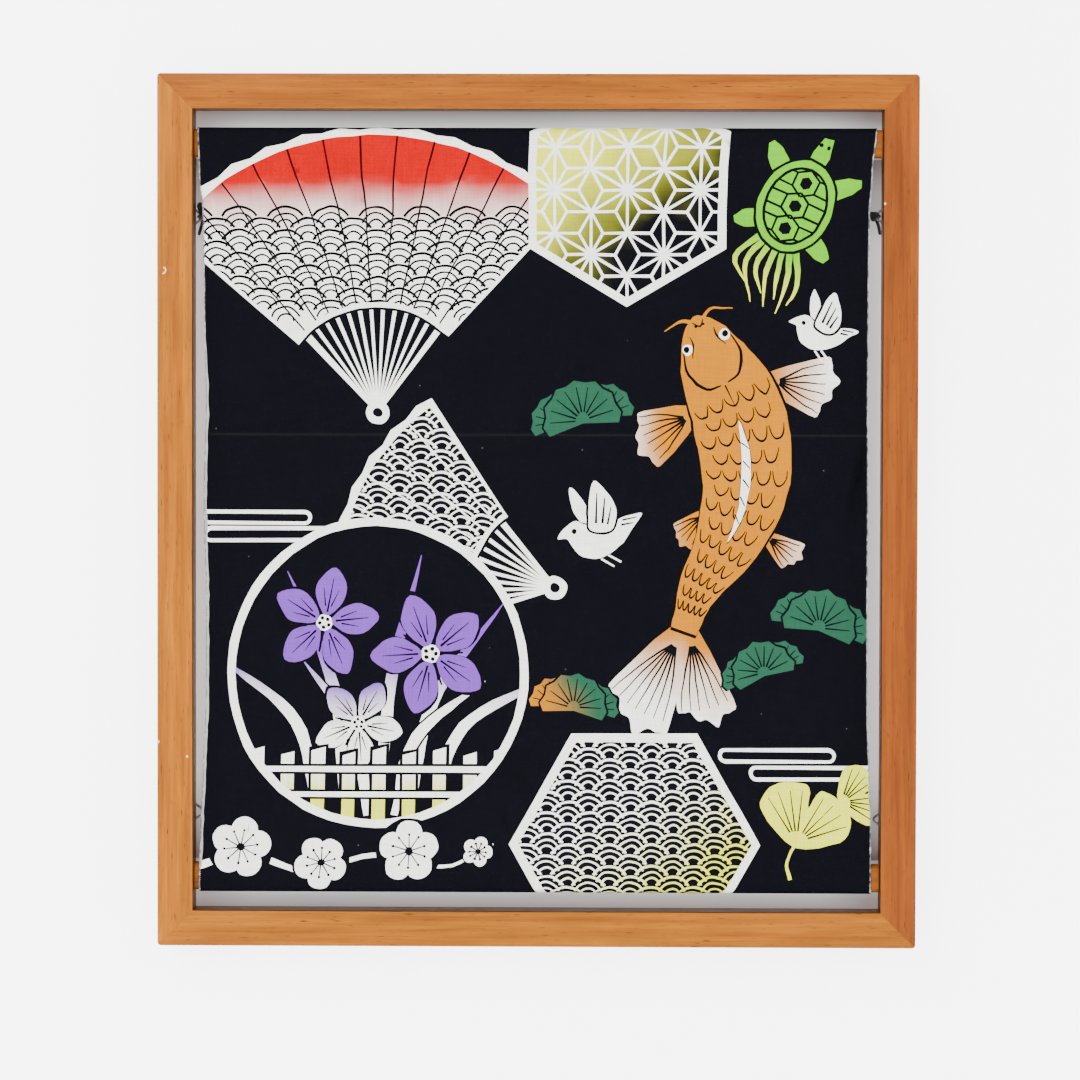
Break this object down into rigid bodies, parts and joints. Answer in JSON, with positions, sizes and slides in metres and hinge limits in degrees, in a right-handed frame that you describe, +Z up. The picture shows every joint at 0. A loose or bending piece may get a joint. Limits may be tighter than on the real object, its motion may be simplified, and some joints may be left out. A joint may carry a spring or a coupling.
{
  "type": "tenugui towel in wooden display frame",
  "caption": "Long cotton hand towel wound round the two crossbars of a mitred wooden wall frame, with wire hanger rings and a hanging cord behind.",
  "frame": {"origin": "middle of the top rail's back face, which lies against the wall", "axes": "+Z up along the frame's height, +Y out of the back towards the wall, +X to the right seen from the front"},
  "size_m": [0.39, 0.0248, 0.448],
  "materials": {
    "wood": "oiled, satin",
    "cloth": "plain-weave cotton, dyed and printed, matte",
    "nickel": "nickel-plated wire and sheet",
    "cord": "braided cord, matte"
  },
  "bodies": {
    "root": {"rail_top": "wood", "rail_bottom": "wood", "stile_left": "wood", "stile_right": "wood", "crossbar_top": "wood", "crossbar_bottom": "wood", "towel": "cloth", "hanger_plate_upper_left": "nickel", "hanger_plate_upper_right": "nickel", "hanger_plate_lower_left": "nickel", "hanger_plate_lower_right": "nickel", "hanger_ring_upper_left": "nickel", "hanger_ring_upper_right": "nickel", "hanger_ring_lower_left": "nickel", "hanger_ring_lower_right": "nickel", "hanger_screw_upper_left": "nickel", "hanger_screw_upper_right": "nickel", "hanger_screw_lower_left": "nickel", "hanger_screw_lower_right": "nickel", "cord_knot_left": "cord", "cord_knot_right": "cord", "hanging_cord": "cord"}
  },
  "joints": []
}
